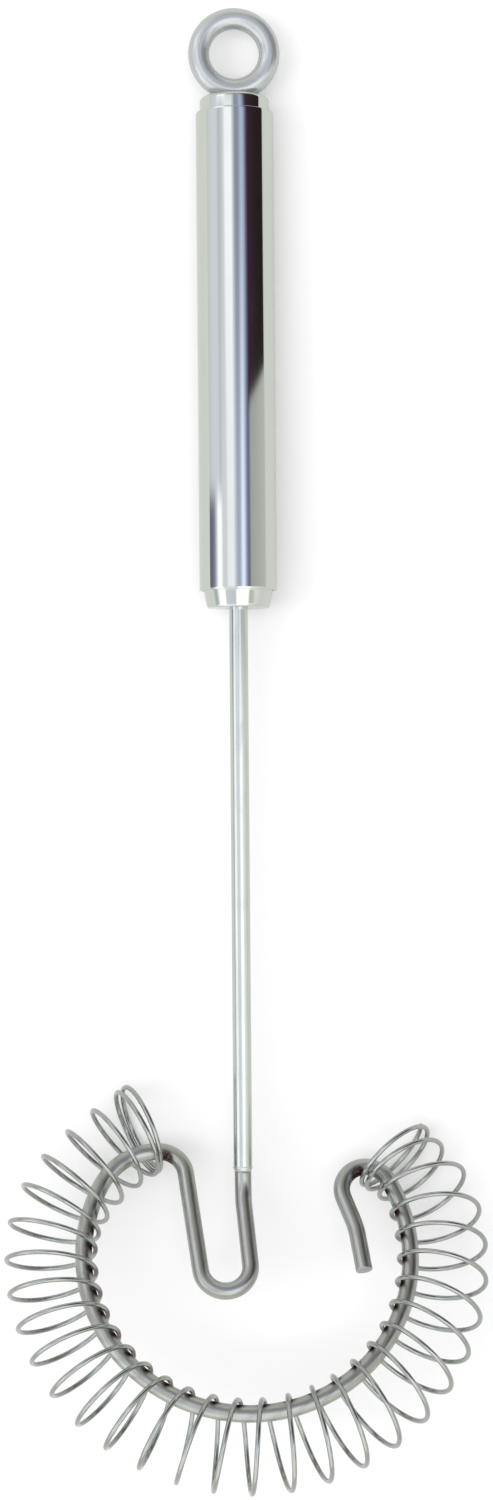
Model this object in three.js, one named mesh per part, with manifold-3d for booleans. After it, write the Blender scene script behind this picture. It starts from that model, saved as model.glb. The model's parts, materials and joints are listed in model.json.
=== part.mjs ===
// Sauce whisk: a hollow round steel handle with a hanging ring, a thin straight
// shaft, and a wire bent into an open ring that carries a long loose coil.
// Millimetres. The whisk lies on a table: +X right, +Y to the hanging ring, +Z up.
// The origin is under the middle of the whisk, on the table.

import * as THREE from 'three';
import { mergeVertices } from 'three/addons/utils/BufferGeometryUtils.js';
import Module from 'manifold-3d';

const wasm = await Module();
wasm.setup();

// Handle tube, along Y.
const TUBE_RADIUS = 7.0;
const TUBE_WALL = 0.6;
const TUBE_LENGTH = 85.8;
const TUBE_EDGE_RADIUS = 0.25;

// Plugs that close the tube. Each stands out of its end of the tube.
const PLUG_FIT_GAP = 0.15;
const TOP_PLUG_HEIGHT = 2.8;
const TOP_PLUG_EDGE_RADIUS = 0.8;
const TOP_PLUG_DEPTH = 6.0;
const FERRULE_HEIGHT = 3.1;
const FERRULE_TIP_RADIUS = 5.7;
const FERRULE_EDGE_RADIUS = 0.45;
const FERRULE_DEPTH = 8.0;

// Hanging ring, ground flat where it is welded to the top plug.
const HANG_RADIUS = 6.35;
const HANG_WIRE_RADIUS = 1.9;
const HANG_SUNK_DEPTH = 0.25;

// Shaft, and the welds at its two ends.
const SHAFT_RADIUS = 1.67;
const SHAFT_LENGTH = 100.8;
const SHAFT_TANG_LENGTH = 3.0;
const SHAFT_FIT_GAP = 0.12;
const TANG_WELD_WIDTH = 1.4;
const SEAM_WELD_LENGTH = 0.9;
const SEAM_WELD_HEIGHT = 0.1;
const WELD_SEAT_GAP = 0.08;

// Frame wire, in the order in which it is bent from the shaft's end.
const WIRE_RADIUS = 1.5;
const HEAD_TILT = 31.0;
const TILT_BEND_RADIUS = 8.0;
const STUB_LENGTH = 0.8;
const LEG_LEAN = 4.2;
const LEG_LEAN_RADIUS = 12.0;
const INNER_LEG_LENGTH = 11.45;
const U_RADIUS = 4.45;
const U_TURN = 177.1;
const OUTER_LEG_LENGTH = 18.4;
const SHOULDER_RADIUS = 5.0;
const SHOULDER_TURN = 82.9;
const NECK_RADIUS = 11.5;
const NECK_TURN = 62.8;
const RING_RADIUS = 29.05;
const RING_TURN = 235.1;
const HOOK_RADIUS = 4.4;
const HOOK_TURN = 171.1;
const TAIL_UPPER_LENGTH = 4.6;
const TAIL_BEND_RADIUS = 15.0;
const TAIL_TURN = 11.6;
const TAIL_LOWER_LENGTH = 6.5;

// Coil, threaded on the ring. Angles are about the ring's centre, from +X.
const COIL_WIRE_RADIUS = 0.4;
const COIL_RADIUS = 8.12;
const COIL_SLIP_GAP = 0.5;
const COIL_TURNS = 32.375;
const COIL_FIRST_TURN = 0.125;
const COIL_START = 127.0;
const COIL_END = 397.5;
const CLOSED_SHARE = 0.33;
const START_CLOSED_TURNS = 1.1;
const START_OPENING_TURNS = 2.0;
const END_CLOSED_TURNS = 0.5;
const END_OPENING_TURNS = 2.0;
const START_DRAW_ANGLE = 48.0;
const START_DRAW_DEPTH = 4.2;
const END_DRAW_ANGLE = 24.0;
const END_DRAW_DEPTH = 2.8;
const DRAW_POWER = 1.2;
const LEAST_COIL_GAP = 0.4;

// Facets, and the rounds that level the whisk on the table.
const ROUND_SIDES = 48;
const SHAFT_SIDES = 24;
const HANG_SIDES = 16;
const HANG_STEPS = 44;
const WIRE_SIDES = 12;
const BEND_STEP = 14;
const CHORD_LENGTH = 3.0;
const CURL_STEPS = 8;
const CURL_SIDES = 5;
const CORNER_STEPS = 4;
const LEVEL_ROUNDS = 6;

const BORE_RADIUS = TUBE_RADIUS - TUBE_WALL;
const PLUG_RADIUS = BORE_RADIUS - PLUG_FIT_GAP;
const FERRULE_FACE_Y = SHAFT_LENGTH;
const TUBE_LOW_Y = FERRULE_FACE_Y + FERRULE_HEIGHT;
const TUBE_HIGH_Y = TUBE_LOW_Y + TUBE_LENGTH;
const PLUG_TOP_Y = TUBE_HIGH_Y + TOP_PLUG_HEIGHT;
const FERRULE_INNER_Y = TUBE_LOW_Y + FERRULE_DEPTH;
const COIL_PATH_RADIUS = RING_RADIUS + COIL_RADIUS - WIRE_RADIUS - COIL_WIRE_RADIUS - COIL_SLIP_GAP;

const POLISHED = { color: 0xd4d6dc, roughness: 0.08, metalness: 1.0 };
const BRIGHT = { color: 0xcfd2d4, roughness: 0.18, metalness: 1.0 };
const SATIN = { color: 0x9fa09b, roughness: 0.34, metalness: 1.0 };
const SPRING = { color: 0xaab0a6, roughness: 0.26, metalness: 1.0 };
const WELD = { color: 0xb9b8b2, roughness: 0.5, metalness: 1.0 };

const rad = THREE.MathUtils.degToRad;

function named(name, geometry, finish) {
  const mesh = new THREE.Mesh(geometry, new THREE.MeshStandardMaterial(finish));
  mesh.name = name;
  return mesh;
}

// A point of a turned profile: radius and height along the axis.
function at(radius, height) {
  return new THREE.Vector2(radius, height);
}

// A quarter-round corner between two angles, as profile points.
function corner(radius, height, size, from, to) {
  return Array.from({ length: CORNER_STEPS + 1 }, (_, step) => {
    const angle = rad(from + ((to - from) * step) / CORNER_STEPS);
    return at(radius + size * Math.cos(angle), height + size * Math.sin(angle));
  });
}

// Turns a profile about Y. A profile that doesn't meet the axis closes on itself.
function turned(profile, sides) {
  const closed = profile[0].x > 0 ? [...profile, profile[0].clone()] : profile;
  return new THREE.LatheGeometry(closed, sides);
}

function solidOf(geometry) {
  const bare = geometry.clone();
  bare.deleteAttribute('normal');
  bare.deleteAttribute('uv');
  const merged = mergeVertices(bare, 1e-4);
  const mesh = new wasm.Mesh({
    numProp: 3,
    vertProperties: new Float32Array(merged.attributes.position.array),
    triVerts: new Uint32Array(merged.index.array),
  });
  return new wasm.Manifold(mesh);
}

function geometryOf(solid) {
  const mesh = solid.getMesh();
  const geometry = new THREE.BufferGeometry();
  geometry.setAttribute('position', new THREE.BufferAttribute(mesh.vertProperties, 3));
  geometry.setIndex(new THREE.BufferAttribute(mesh.triVerts, 1));
  geometry.computeVertexNormals();
  return geometry;
}

// A wire's centreline as a bender makes it: straight feeds and round bends in
// order. The plane's normal is the axis of the plan bends.
class BentPath {
  constructor(point, heading, normal) {
    this.end = { point, heading, normal };
    this.runs = [];
  }

  feed(length) {
    return this.add({ length, bend: null });
  }

  // Turns left by the angle in degrees, or right if it is negative, in the plane.
  turn(radius, degrees) {
    return this.add({ length: radius * Math.abs(rad(degrees)), bend: { radius, degrees, tip: false } });
  }

  // Tips the heading and the plane up by the angle in degrees.
  tip(radius, degrees) {
    return this.add({ length: radius * Math.abs(rad(degrees)), bend: { radius, degrees, tip: true } });
  }

  add(run) {
    const placed = { ...run, start: this.end };
    this.runs.push(placed);
    this.end = this.along(placed, run.length);
    return this;
  }

  // The centre of a bend: to the left of the heading for a left turn.
  centre({ start, bend }) {
    return start.point.clone().addScaledVector(this.inward({ start, bend }), bend.radius);
  }

  axis({ start, bend }) {
    const across = start.heading.clone().cross(start.normal);
    const axis = bend.tip ? across : start.normal.clone();
    return axis.multiplyScalar(Math.sign(bend.degrees));
  }

  inward(run) {
    return this.axis(run).cross(run.start.heading);
  }

  along(run, distance) {
    const { start, bend } = run;
    if (!bend) {
      return { ...start, point: start.point.clone().addScaledVector(start.heading, distance) };
    }
    const axis = this.axis(run);
    const angle = distance / bend.radius;
    const spoke = this.inward(run).multiplyScalar(-bend.radius).applyAxisAngle(axis, angle);
    return {
      point: this.centre(run).add(spoke),
      heading: start.heading.clone().applyAxisAngle(axis, angle),
      normal: start.normal.clone().applyAxisAngle(axis, angle),
    };
  }

  // Places along the path that are close enough together for a smooth tube.
  stations() {
    const list = [this.runs[0].start];
    for (const run of this.runs) {
      const angleSteps = run.bend ? Math.abs(run.bend.degrees) / BEND_STEP : 1;
      const chordSteps = run.bend ? run.length / CHORD_LENGTH : 1;
      const steps = Math.max(1, Math.ceil(Math.max(angleSteps, chordSteps)));
      for (let step = 1; step <= steps; step += 1) {
        list.push(this.along(run, (run.length * step) / steps));
      }
    }
    return list;
  }
}

// A curve that an extrusion samples exactly at a path's stations.
class StationCurve extends THREE.Curve {
  constructor(stations) {
    super();
    this.stations = stations;
  }

  between(t, field) {
    const place = t * (this.stations.length - 1);
    const low = Math.min(Math.floor(place + 1e-9), this.stations.length - 2);
    const share = place - low;
    return this.stations[low][field].clone().lerp(this.stations[low + 1][field], share);
  }

  getPoint(t, target = new THREE.Vector3()) {
    return target.copy(this.between(t, 'point'));
  }

  getTangent(t, target = new THREE.Vector3()) {
    return target.copy(this.between(t, 'heading')).normalize();
  }

  getUtoTmapping(u) {
    return u;
  }
}

function roundShape(radius, sides) {
  const points = Array.from({ length: sides }, (_, side) => {
    const angle = (2 * Math.PI * side) / sides;
    return at(radius * Math.cos(angle), radius * Math.sin(angle));
  });
  return new THREE.Shape(points);
}

function tubeAlong(path, radius, sides) {
  const stations = path.stations();
  const curve = new StationCurve(stations);
  const steps = stations.length - 1;
  return new THREE.ExtrudeGeometry(roundShape(radius, sides), { steps, extrudePath: curve });
}

function handleTube() {
  const low = TUBE_LOW_Y;
  const high = TUBE_HIGH_Y;
  const rim = TUBE_RADIUS - TUBE_EDGE_RADIUS;
  const profile = [
    at(BORE_RADIUS, low),
    ...corner(rim, low + TUBE_EDGE_RADIUS, TUBE_EDGE_RADIUS, -90, 0),
    ...corner(rim, high - TUBE_EDGE_RADIUS, TUBE_EDGE_RADIUS, 0, 90),
    at(BORE_RADIUS, high),
  ];
  return turned(profile, ROUND_SIDES);
}

function topPlug() {
  const edge = TOP_PLUG_EDGE_RADIUS;
  const profile = [
    at(0, TUBE_HIGH_Y - TOP_PLUG_DEPTH),
    at(PLUG_RADIUS, TUBE_HIGH_Y - TOP_PLUG_DEPTH),
    ...corner(PLUG_RADIUS - edge, PLUG_TOP_Y - edge, edge, 0, 90),
    at(0, PLUG_TOP_Y),
  ];
  return turned(profile, ROUND_SIDES);
}

function ferrule() {
  const bore = SHAFT_RADIUS + SHAFT_FIT_GAP;
  const edge = FERRULE_EDGE_RADIUS;
  const profile = [
    at(bore, FERRULE_FACE_Y),
    ...corner(FERRULE_TIP_RADIUS - edge, FERRULE_FACE_Y + edge, edge, -90, 0),
    at(PLUG_RADIUS, TUBE_LOW_Y),
    at(PLUG_RADIUS, FERRULE_INNER_Y),
    at(bore, FERRULE_INNER_Y),
  ];
  return turned(profile, ROUND_SIDES);
}

function hangingRing() {
  const centreY = PLUG_TOP_Y + HANG_RADIUS + HANG_WIRE_RADIUS - HANG_SUNK_DEPTH;
  const ring = new THREE.TorusGeometry(HANG_RADIUS, HANG_WIRE_RADIUS, HANG_SIDES, HANG_STEPS);
  ring.translate(0, centreY, 0);
  const waste = new THREE.BoxGeometry(4 * HANG_RADIUS, 2 * HANG_SUNK_DEPTH, 4 * HANG_WIRE_RADIUS);
  waste.translate(0, PLUG_TOP_Y + WELD_SEAT_GAP - HANG_SUNK_DEPTH, 0);
  return geometryOf(solidOf(ring).subtract(solidOf(waste)));
}

function shaft() {
  const low = SEAM_WELD_LENGTH / 2 + WELD_SEAT_GAP;
  const high = FERRULE_INNER_Y + SHAFT_TANG_LENGTH;
  const profile = [at(0, low), at(SHAFT_RADIUS, low), at(SHAFT_RADIUS, high), at(0, high)];
  return turned(profile, SHAFT_SIDES);
}

// Fillet of weld metal round the shaft, on the ferrule's inner face.
function tangWeld() {
  const inner = SHAFT_RADIUS + SHAFT_FIT_GAP;
  const low = FERRULE_INNER_Y + WELD_SEAT_GAP;
  const profile = [
    at(inner, low),
    at(inner + TANG_WELD_WIDTH, low),
    at(inner + TANG_WELD_WIDTH / 2, low + TANG_WELD_WIDTH / 2),
    at(inner, low + TANG_WELD_WIDTH),
  ];
  return turned(profile, SHAFT_SIDES);
}

// Slightly swollen bead between the shaft's end and the frame wire's.
function seamWeld() {
  const half = SEAM_WELD_LENGTH / 2;
  const swell = SHAFT_RADIUS + SEAM_WELD_HEIGHT;
  const profile = [
    at(0, -half),
    at(WIRE_RADIUS, -half),
    at(swell, -half / 3),
    at(swell, half / 3),
    at(SHAFT_RADIUS, half),
    at(0, half),
  ];
  return turned(profile, SHAFT_SIDES);
}

// The frame wire from the seam to the free end of the hook. The ring's bend is
// kept, because the coil and the ring's centre are laid out from it.
function framePath() {
  const seam = new THREE.Vector3(0, -SEAM_WELD_LENGTH / 2 - WELD_SEAT_GAP, 0);
  const path = new BentPath(seam, new THREE.Vector3(0, -1, 0), new THREE.Vector3(0, 0, 1));
  path.feed(STUB_LENGTH).tip(TILT_BEND_RADIUS, HEAD_TILT);
  path.turn(LEG_LEAN_RADIUS, LEG_LEAN).feed(INNER_LEG_LENGTH);
  path.turn(U_RADIUS, -U_TURN).feed(OUTER_LEG_LENGTH);
  path.turn(SHOULDER_RADIUS, SHOULDER_TURN).turn(NECK_RADIUS, NECK_TURN);
  path.turn(RING_RADIUS, RING_TURN);
  path.ring = path.runs.at(-1);
  path.turn(HOOK_RADIUS, HOOK_TURN).feed(TAIL_UPPER_LENGTH);
  path.turn(TAIL_BEND_RADIUS, -TAIL_TURN).feed(TAIL_LOWER_LENGTH);
  return path;
}

// The coil, laid out round the ring. Its closed end turns lie nearer together,
// and both ends draw in towards the bends that keep the coil on the ring.
class Coil {
  constructor(frame) {
    this.centre = frame.centre(frame.ring);
    this.normal = frame.ring.start.normal.clone();
    this.right = new THREE.Vector3(1, 0, 0);
    this.up = this.normal.clone().cross(this.right);
    const half = COIL_TURNS / 2;
    this.pitch = (COIL_END - COIL_START) / (this.fromStart(half) + this.fromEnd(half));
  }

  // What the turns from an end are worth in turns of full pitch. The first ones lie
  // closed, and the pitch then opens smoothly.
  worth(turns, closed, opening) {
    const opened = THREE.MathUtils.clamp((turns - closed) / opening, 0, 1);
    const beyond = Math.max(0, turns - closed - opening);
    return CLOSED_SHARE * turns + (1 - CLOSED_SHARE) * (opening * (opened ** 3 - opened ** 4 / 2) + beyond);
  }

  fromStart(turns) {
    return this.worth(turns, START_CLOSED_TURNS, START_OPENING_TURNS);
  }

  fromEnd(turns) {
    return this.worth(turns, END_CLOSED_TURNS, END_OPENING_TURNS);
  }

  angle(turns) {
    if (turns < COIL_TURNS / 2) {
      return COIL_START + this.pitch * this.fromStart(turns);
    }
    return COIL_END - this.pitch * this.fromEnd(COIL_TURNS - turns);
  }

  pathPoint(degrees) {
    const nearStart = Math.max(0, 1 - (degrees - COIL_START) / START_DRAW_ANGLE);
    const nearEnd = Math.max(0, 1 - (COIL_END - degrees) / END_DRAW_ANGLE);
    const drawn = START_DRAW_DEPTH * nearStart ** DRAW_POWER + END_DRAW_DEPTH * nearEnd ** DRAW_POWER;
    const radius = COIL_PATH_RADIUS - drawn;
    return this.centre.clone()
      .addScaledVector(this.right, radius * Math.cos(rad(degrees)))
      .addScaledVector(this.up, radius * Math.sin(rad(degrees)));
  }

  // Square to the path, in the ring's plane, away from the ring's centre.
  outward(degrees) {
    const ahead = this.pathPoint(degrees + 0.5).sub(this.pathPoint(degrees - 0.5));
    return ahead.cross(this.normal).normalize();
  }

  // From the inner side of the ring the wire goes behind it, out, and back in front.
  // Its first turn starts behind the ring.
  wirePoint(turns) {
    const degrees = this.angle(turns);
    const phase = 2 * Math.PI * (turns + COIL_FIRST_TURN);
    return this.pathPoint(degrees)
      .addScaledVector(this.outward(degrees), -COIL_RADIUS * Math.cos(phase))
      .addScaledVector(this.normal, -COIL_RADIUS * Math.sin(phase));
  }

  points(stepsPerTurn) {
    const steps = Math.round(COIL_TURNS * stepsPerTurn);
    return Array.from({ length: steps + 1 }, (_, step) => this.wirePoint((COIL_TURNS * step) / steps));
  }

  // Wire centres, with a straight end of one wire diameter at each end.
  wire() {
    const points = this.points(CURL_STEPS);
    const first = points[0].clone().sub(points[1]).setLength(2 * COIL_WIRE_RADIUS).add(points[0]);
    const last = points.at(-1).clone().sub(points.at(-2)).setLength(2 * COIL_WIRE_RADIUS).add(points.at(-1));
    return [first, ...points, last];
  }

  // The narrowest space between neighbouring turns, measured on close points.
  leastGap() {
    const fine = CURL_STEPS * 4;
    const points = this.points(fine);
    let least = Infinity;
    points.forEach((point, index) => {
      for (let other = index + fine / 2; other < Math.min(points.length, index + 2 * fine); other += 1) {
        least = Math.min(least, point.distanceTo(points[other]));
      }
    });
    return least - 2 * COIL_WIRE_RADIUS;
  }
}

// One closed tube through a list of points, with a flat cap at each end.
function wireTube(points, radius, sides) {
  const positions = [];
  const indices = [];
  let across = null;
  points.forEach((point, index) => {
    const before = points[Math.max(0, index - 1)];
    const after = points[Math.min(points.length - 1, index + 1)];
    const heading = after.clone().sub(before).normalize();
    const seed = across ?? new THREE.Vector3(0, 0, 1).cross(heading);
    across = seed.clone().addScaledVector(heading, -seed.dot(heading)).normalize();
    const beside = heading.clone().cross(across);
    for (let side = 0; side < sides; side += 1) {
      const angle = (2 * Math.PI * side) / sides;
      const spoke = across.clone().multiplyScalar(Math.cos(angle)).addScaledVector(beside, Math.sin(angle));
      positions.push(...point.clone().addScaledVector(spoke, radius).toArray());
    }
  });
  for (let ring = 0; ring < points.length - 1; ring += 1) {
    for (let side = 0; side < sides; side += 1) {
      const a = ring * sides + side;
      const b = ring * sides + ((side + 1) % sides);
      indices.push(a, b, a + sides, b, b + sides, a + sides);
    }
  }
  const lastRing = (points.length - 1) * sides;
  for (let side = 1; side < sides - 1; side += 1) {
    indices.push(0, side + 1, side);
    indices.push(lastRing, lastRing + side, lastRing + side + 1);
  }
  const geometry = new THREE.BufferGeometry();
  geometry.setAttribute('position', new THREE.Float32BufferAttribute(positions, 3));
  geometry.setIndex(indices);
  geometry.computeVertexNormals();
  return geometry;
}

// The lowest vertex of a mesh, after its group's turn, among those that are wanted.
function lowest(mesh, wanted) {
  const position = mesh.geometry.attributes.position;
  let best = null;
  for (let index = 0; index < position.count; index += 1) {
    const local = new THREE.Vector3().fromBufferAttribute(position, index);
    const world = local.clone().applyMatrix4(mesh.matrixWorld);
    if (wanted(local) && (!best || world.z < best.z)) {
      best = world;
    }
  }
  return best;
}

// Lays the whisk on the table: it rests on the handle's far end and on the two
// ends of the coil, so it is turned until these three are level.
function layOnTable(whisk, handle, coil) {
  for (let round = 0; round < LEVEL_ROUNDS; round += 1) {
    whisk.updateMatrixWorld(true);
    const far = lowest(handle, (local) => local.y > FERRULE_INNER_Y);
    const left = lowest(coil, (local) => local.x < 0);
    const right = lowest(coil, (local) => local.x > 0);
    const facing = right.sub(left).cross(far.sub(left)).normalize();
    const level = new THREE.Quaternion().setFromUnitVectors(facing, new THREE.Vector3(0, 0, 1));
    whisk.quaternion.premultiply(level);
  }
  whisk.updateMatrixWorld(true);
  const box = new THREE.Box3().setFromObject(whisk, true);
  const middle = box.getCenter(new THREE.Vector3());
  whisk.position.set(-middle.x, -middle.y, -box.min.z);
  whisk.updateMatrixWorld(true);
}

const frame = framePath();
const coil = new Coil(frame);
const coilGap = coil.leastGap();
console.log(`least gap between coil turns: ${coilGap.toFixed(2)} mm, wanted over ${LEAST_COIL_GAP} mm`);

const handle = named('handle_tube', handleTube(), POLISHED);
const spring = named('whisk_coil', wireTube(coil.wire(), COIL_WIRE_RADIUS, CURL_SIDES), SPRING);

const whisk = new THREE.Group();
whisk.add(
  named('hanging_ring', hangingRing(), BRIGHT),
  named('top_plug', topPlug(), POLISHED),
  handle,
  named('ferrule', ferrule(), POLISHED),
  named('tang_weld', tangWeld(), WELD),
  named('shaft', shaft(), BRIGHT),
  named('seam_weld', seamWeld(), WELD),
  named('frame_wire', tubeAlong(frame, WIRE_RADIUS, WIRE_SIDES), SATIN),
  spring,
);
layOnTable(whisk, handle, spring);

export default whisk;
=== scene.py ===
"""Looks of a small sauce whisk: a bare steel handle, a thin shaft and a loose coil on a bent ring.

Lengths in the classes are millimetres in the whisk's own frame: +Y runs along the handle to the
hanging ring, +Z faces away from the table, and the origin is the seam between shaft and wire.
"""

import json
import logging
import math
from dataclasses import dataclass, field
from enum import Enum
from typing import Any, Iterable, Mapping, Sequence

import bmesh
import bpy
import numpy as np
from mathutils import Matrix, Vector
from mathutils.kdtree import KDTree


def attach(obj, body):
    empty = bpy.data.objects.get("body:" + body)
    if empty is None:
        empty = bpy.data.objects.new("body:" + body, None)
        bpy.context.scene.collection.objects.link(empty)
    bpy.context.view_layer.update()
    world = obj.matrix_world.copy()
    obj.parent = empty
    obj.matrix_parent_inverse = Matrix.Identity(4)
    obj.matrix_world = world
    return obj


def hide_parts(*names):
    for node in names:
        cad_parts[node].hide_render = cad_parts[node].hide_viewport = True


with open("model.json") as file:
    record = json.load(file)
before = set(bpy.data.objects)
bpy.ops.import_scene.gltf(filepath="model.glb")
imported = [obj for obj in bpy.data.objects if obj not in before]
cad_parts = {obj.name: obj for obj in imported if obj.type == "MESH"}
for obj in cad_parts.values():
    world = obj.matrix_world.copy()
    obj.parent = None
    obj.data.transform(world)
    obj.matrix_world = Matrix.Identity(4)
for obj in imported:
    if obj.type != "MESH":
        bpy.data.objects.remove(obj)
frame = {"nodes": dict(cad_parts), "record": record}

log = logging.getLogger("whisk")

METRES = 0.001
RIGHT = np.array((1.0, 0.0, 0.0))
# Steps of the rounding at a wire's cut ends.
EDGE_STEPS = 4
# Most of a noise's values lie in this range.
NOISE_RANGE = (0.3, 0.7)
# Mesh attributes that the finishes read.
LAY = "lay"
# Where two wires meet: painted contact shade in the colour, and rub wear in the roughness.
SHADE_AND_RUB = "shade_and_rub"
BEARING = "bearing"
ALONG = "along"

# A start and an end, or a radius and a height.
Pair = tuple[float, float]
Triple = tuple[float, float, float]
Colour = Triple
# Bearings in degrees, each with the light there.
Bands = tuple[tuple[float, Colour], ...]
# What a shader socket takes: a number, a colour or a signal.
Value = Any


class Body(Enum):
    """The two rigid bodies that pieces ride on."""

    FRAME = "whisk_frame"
    COIL = "coil"


class Slot(Enum):
    """The record's material slots."""

    POLISHED = "polished_steel"
    BRIGHT = "bright_steel"
    WIRE = "wire_steel"
    SPRING = "spring_steel"
    WELD = "weld"


class Signal:
    """An output socket of a shader graph, whose sums and products are Python expressions."""

    def __init__(self, graph: "ShaderGraph", socket: bpy.types.NodeSocket) -> None:
        """Wraps an output socket of the graph."""
        self.graph = graph
        self.socket = socket

    def _maths(self, operation: str, first: Value, second: Value) -> "Signal":
        """The result of one Math node on two numbers or signals."""
        return self.graph.signal("ShaderNodeMath", {"operation": operation}, {0: first, 1: second})

    def __add__(self, other: Value) -> "Signal":
        """Sum."""
        return self._maths("ADD", self, other)

    def __radd__(self, other: Value) -> "Signal":
        """Sum, reflected."""
        return self._maths("ADD", other, self)

    def __sub__(self, other: Value) -> "Signal":
        """Difference."""
        return self._maths("SUBTRACT", self, other)

    def __rsub__(self, other: Value) -> "Signal":
        """Difference, reflected."""
        return self._maths("SUBTRACT", other, self)

    def __mul__(self, other: Value) -> "Signal":
        """Product."""
        return self._maths("MULTIPLY", self, other)

    def __rmul__(self, other: Value) -> "Signal":
        """Product, reflected."""
        return self._maths("MULTIPLY", other, self)


class ShaderGraph:
    """The node tree of one material or world."""

    def __init__(self, tree: bpy.types.NodeTree) -> None:
        """Empties the tree, to build in it."""
        self.tree = tree
        tree.nodes.clear()

    def node(self, kind: str, settings: Mapping[str, Value] | None = None,
             inputs: Mapping[Any, Value] | None = None) -> bpy.types.Node:
        """Adds a node, sets it up and feeds its sockets.

        Args:
            kind: The node's type.
            settings: The node's own settings; "stops" are a ramp's places and colours.
            inputs: Numbers, vectors or signals by the socket's name or number.

        Returns:
            The new node.
        """
        made = self.tree.nodes.new(kind)
        for name, value in (settings or {}).items():
            if name == "stops":
                self._set_stops(made.color_ramp, value)
            else:
                setattr(made, name, value)
        for key, value in (inputs or {}).items():
            if isinstance(value, Signal):
                self.tree.links.new(value.socket, made.inputs[key])
            else:
                made.inputs[key].default_value = value
        return made

    @staticmethod
    def _set_stops(ramp: bpy.types.ColorRamp, stops: Sequence[tuple[float, Colour]]) -> None:
        """Gives a colour ramp its stops.

        Args:
            ramp: The ramp to change.
            stops: Places from 0 to 1, each with its colour.
        """
        ramp.elements[1].position = 1.0
        ramp.elements.remove(ramp.elements[0])
        for place, _ in stops[:-1]:
            ramp.elements.new(place)
        for element, (_, colour) in zip(ramp.elements, stops):
            element.color = (*colour, 1.0)

    def signal(self, kind: str, settings: Mapping[str, Value] | None = None,
               inputs: Mapping[Any, Value] | None = None, output: Any = 0) -> Signal:
        """One output of a new node, by its name or number; the rest is as for node()."""
        return Signal(self, self.node(kind, settings, inputs).outputs[output])

    def attribute(self, name: str, output: str = "Vector") -> Signal:
        """The mesh attribute of that name."""
        return self.signal("ShaderNodeAttribute", {"attribute_name": name}, output=output)

    def scaled(self, vector: Signal, by: Triple) -> Signal:
        """The vector with its axes multiplied one by one."""
        return self.signal("ShaderNodeVectorMath", {"operation": "MULTIPLY"}, {0: vector, 1: by})

    def noise(self, vector: Signal, scale: float, detail: float, roughness: float) -> Signal:
        """Soft noise from 0 to 1, whose scale is spots per unit of the vector."""
        inputs = {"Vector": vector, "Scale": scale, "Detail": detail, "Roughness": roughness}
        return self.signal("ShaderNodeTexNoise", None, inputs)

    def grain(self, scale: Triple, detail: float, roughness: float) -> Signal:
        """Noise in a piece's own lay: spots per millimetre across, across and along it."""
        return self.noise(self.scaled(self.attribute(LAY), scale), 1.0, detail, roughness)

    def between(self, value: Signal, low: float, high: float, to_low: float = 0.0,
                to_high: float = 1.0) -> Signal:
        """The value turned smoothly from the range low to high into to_low to to_high."""
        inputs = {0: value, 1: low, 2: high, 3: to_low, 4: to_high}
        return self.signal("ShaderNodeMapRange", {"interpolation_type": "SMOOTHSTEP"}, inputs)

    def mix(self, share: Value, first: Value, second: Value) -> Signal:
        """Blends two colours.

        Args:
            share: The second colour's share.
            first: A colour or a signal.
            second: A colour or a signal.

        Returns:
            The blended colour.
        """
        settings = {"data_type": "RGBA", "clamp_factor": True}
        inputs = {0: share, 6: self._rgba(first), 7: self._rgba(second)}
        return self.signal("ShaderNodeMix", settings, inputs, 2)

    @staticmethod
    def _rgba(colour: Value) -> Value:
        """The colour with its fourth number, or the signal as it is."""
        return colour if isinstance(colour, Signal) else (*colour, 1.0)

    def bump(self, height: Signal, depth: float, strength: float) -> Signal:
        """A surface normal from a height of 0 to 1, where 1 is the depth in millimetres."""
        inputs = {"Strength": strength, "Distance": depth * METRES, "Height": height}
        return self.signal("ShaderNodeBump", None, inputs)

    def metal(self, base: Value, roughness: Value, normal: Value, metallic: float = 1.0) -> None:
        """Ends the graph in a metal surface.

        Args:
            base: The metal's colour.
            roughness: Its roughness.
            normal: Its normal, from a bump.
            metallic: How metallic it is; a tumbled, dull skin is less so.
        """
        inputs = {"Base Color": base, "Metallic": metallic, "Roughness": roughness,
                  "Normal": normal}
        surface = self.signal("ShaderNodeBsdfPrincipled", None, inputs)
        self.node("ShaderNodeOutputMaterial", None, {"Surface": surface})


def dimmed(colour: Colour, by: float) -> Colour:
    """The colour with all three numbers multiplied."""
    return (colour[0] * by, colour[1] * by, colour[2] * by)


def eased(share: np.ndarray) -> np.ndarray:
    """A smooth rise from 0 to 1."""
    held = np.clip(share, 0, 1)
    return held * held * (3 - 2 * held)


def unit(vectors: np.ndarray) -> np.ndarray:
    """The vectors at a length of 1, one in each row."""
    return vectors / np.linalg.norm(vectors, axis=1)[:, None]


def waves(along: np.ndarray, terms: Sequence[Triple]) -> np.ndarray:
    """The sum of sine waves, each with its rate, height and start."""
    return sum(height * np.sin(along * rate + start) for rate, height, start in terms)


def placed(name: str, data: bpy.types.ID) -> bpy.types.Object:
    """Makes an object and puts it in the scene.

    Args:
        name: The object's name.
        data: Its mesh, camera or light.

    Returns:
        The new object.
    """
    made = bpy.data.objects.new(name, data)
    bpy.context.scene.collection.objects.link(made)
    return made


def new_graph(name: str) -> tuple[bpy.types.Material, ShaderGraph]:
    """Makes an empty material.

    Args:
        name: The material's name.

    Returns:
        The material and its graph.
    """
    material = bpy.data.materials.new(name)
    material.use_nodes = True
    return material, ShaderGraph(material.node_tree)


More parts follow.
